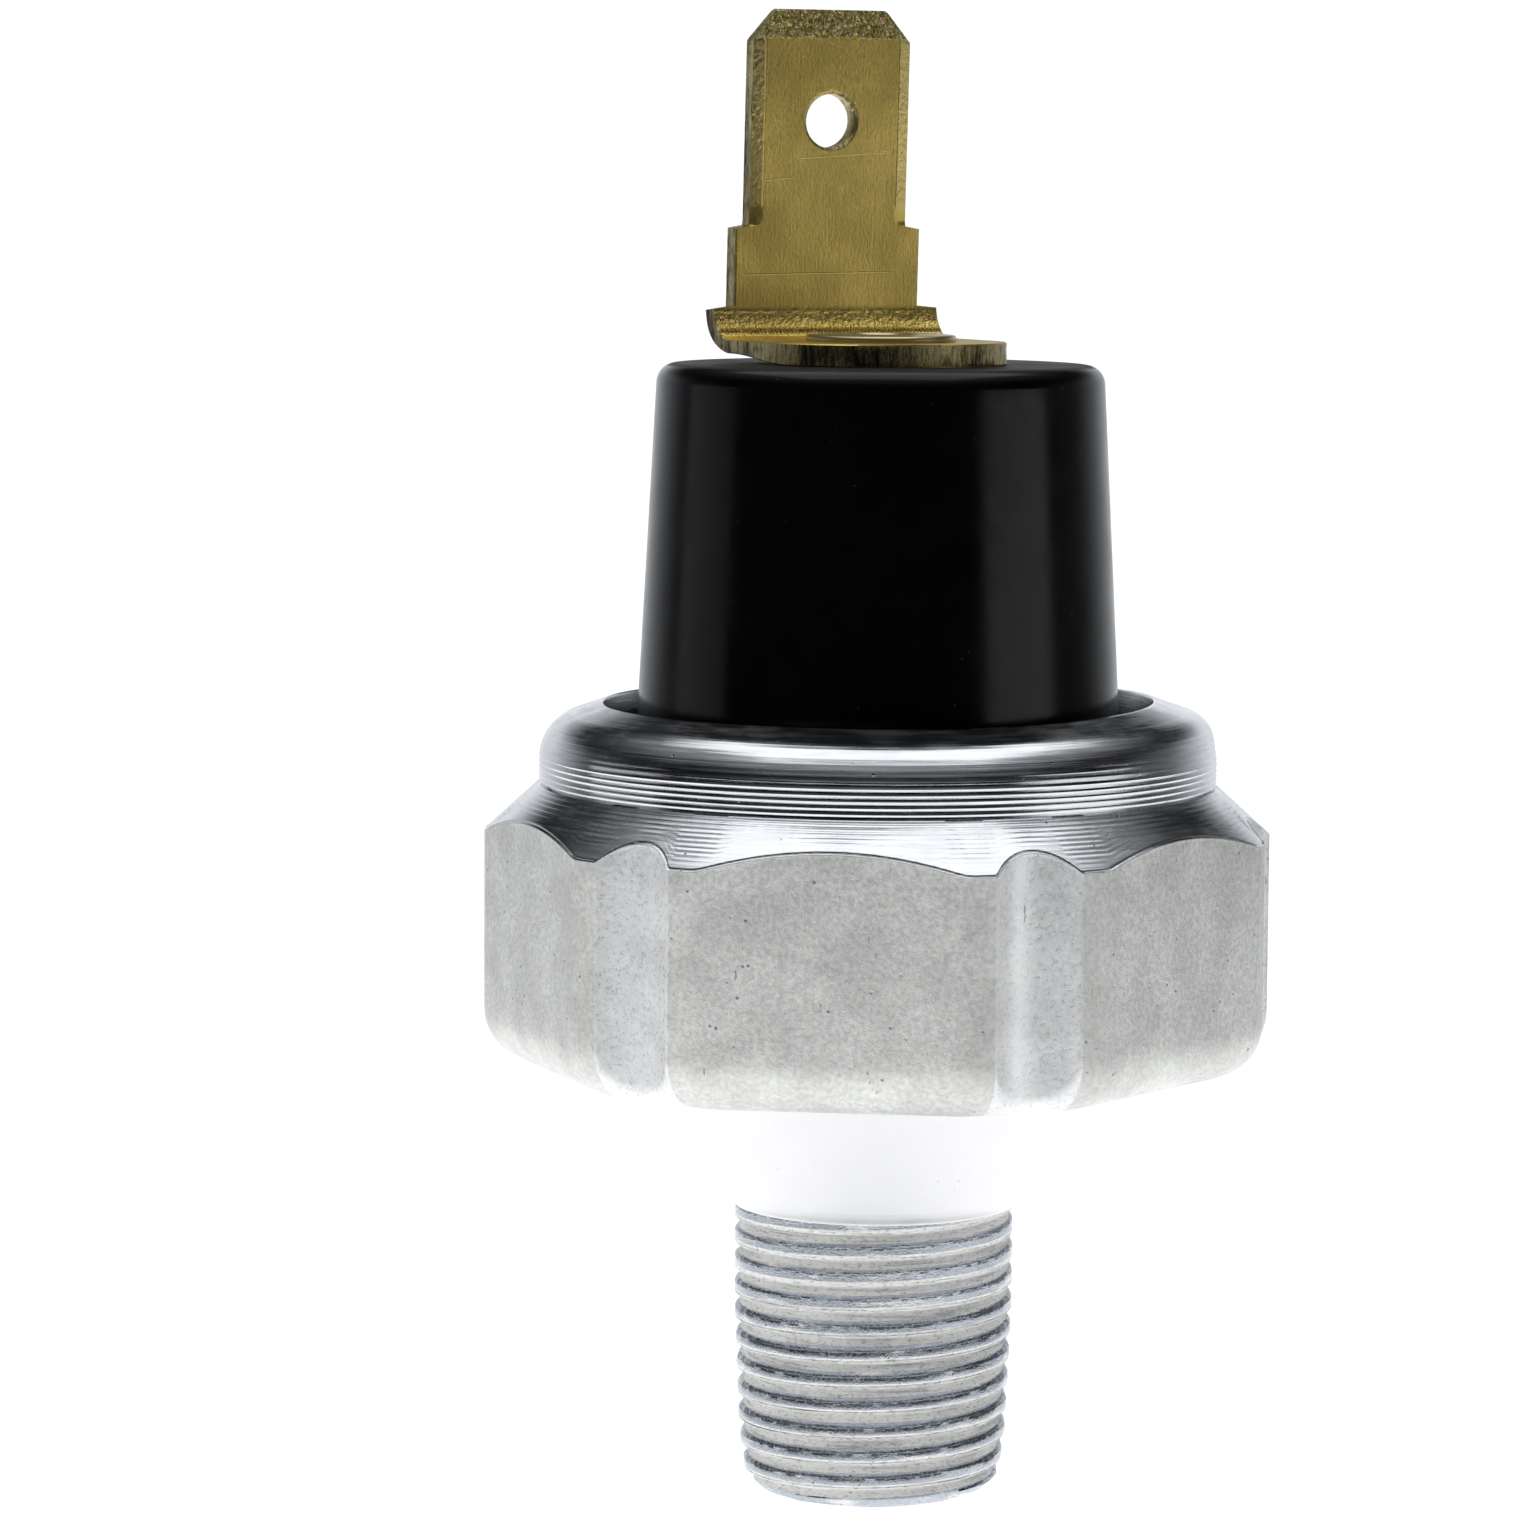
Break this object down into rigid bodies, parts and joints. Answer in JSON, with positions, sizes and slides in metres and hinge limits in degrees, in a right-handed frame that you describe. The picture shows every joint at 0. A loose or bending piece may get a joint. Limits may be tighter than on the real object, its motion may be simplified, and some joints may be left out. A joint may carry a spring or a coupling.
{
  "type": "pressure switch",
  "caption": "Diaphragm pressure switch with a hexagon steel body, taper pipe thread, crimped black insulator and a flat blade terminal.",
  "frame": {"origin": "centre of the thread's end face", "axes": "+Z along the switch's axis from the thread to the blade, X along the blade's width, -Y the side that the blade's foot points to"},
  "size_m": [0.0272, 0.0282, 0.0536],
  "materials": {
    "body_steel": "plated steel, tumbled faces and turned collar",
    "insulator_black": "glossy moulded thermoset",
    "terminal_brass": "rolled sheet brass, coined edges",
    "rivet_brass": "turned brass, clinched",
    "rubber_black": "matt black nitrile rubber",
    "film_amber": "amber polyimide film",
    "plate_steel": "zinc-plated sheet steel",
    "pin_phenolic": "brown phenolic, machined",
    "contact_silver": "silver plate",
    "contact_brass": "pressed brass",
    "spring_steel": "drawn spring wire",
    "gasket_fibre": "pressed gasket fibre"
  },
  "bodies": {
    "root": {"housing": "body_steel", "diaphragm_o_ring": "rubber_black", "diaphragm_ply_lower": "film_amber", "diaphragm_ply_upper": "film_amber", "guide_plate": "plate_steel", "fixed_contact_ring": "contact_silver", "base_gasket": "gasket_fibre", "insulator": "insulator_black", "lip_gasket": "rubber_black", "inner_washer": "plate_steel", "rivet_seal": "rubber_black", "terminal": "terminal_brass", "terminal_rivet": "rivet_brass"},
    "contact_set": {"pressure_plate": "plate_steel", "push_pin": "pin_phenolic", "moving_contact": "contact_brass", "contact_buttons": "contact_silver", "contact_spring": "spring_steel"},
    "seat": {"spring_seat": "contact_brass"},
    "screw": {"adjusting_screw": "rivet_brass"}
  },
  "joints": [
    {"name": "contact_lift", "type": "slide", "parent": "root", "child": "contact_set", "axis": [0, 0, 1], "range_m": [0, 0.0005], "stiffness_N_per_m": 400, "springref_m": -0.009, "deforming": ["contact_spring"]},
    {"name": "seat_shift", "type": "slide", "parent": "root", "child": "seat", "axis": [0, 0, 1], "range_m": [-0.0004, 0.0004], "deforming": ["contact_spring"]},
    {"name": "screw_turn", "type": "hinge", "parent": "seat", "child": "screw", "pos_m": [0, 0, 0.038], "axis": [0, 0, 1], "range_deg": [-360, 360]}
  ],
  "couplings": [
    {"joint": "screw_turn", "follows": "seat_shift", "rad_per_m": 15708}
  ]
}
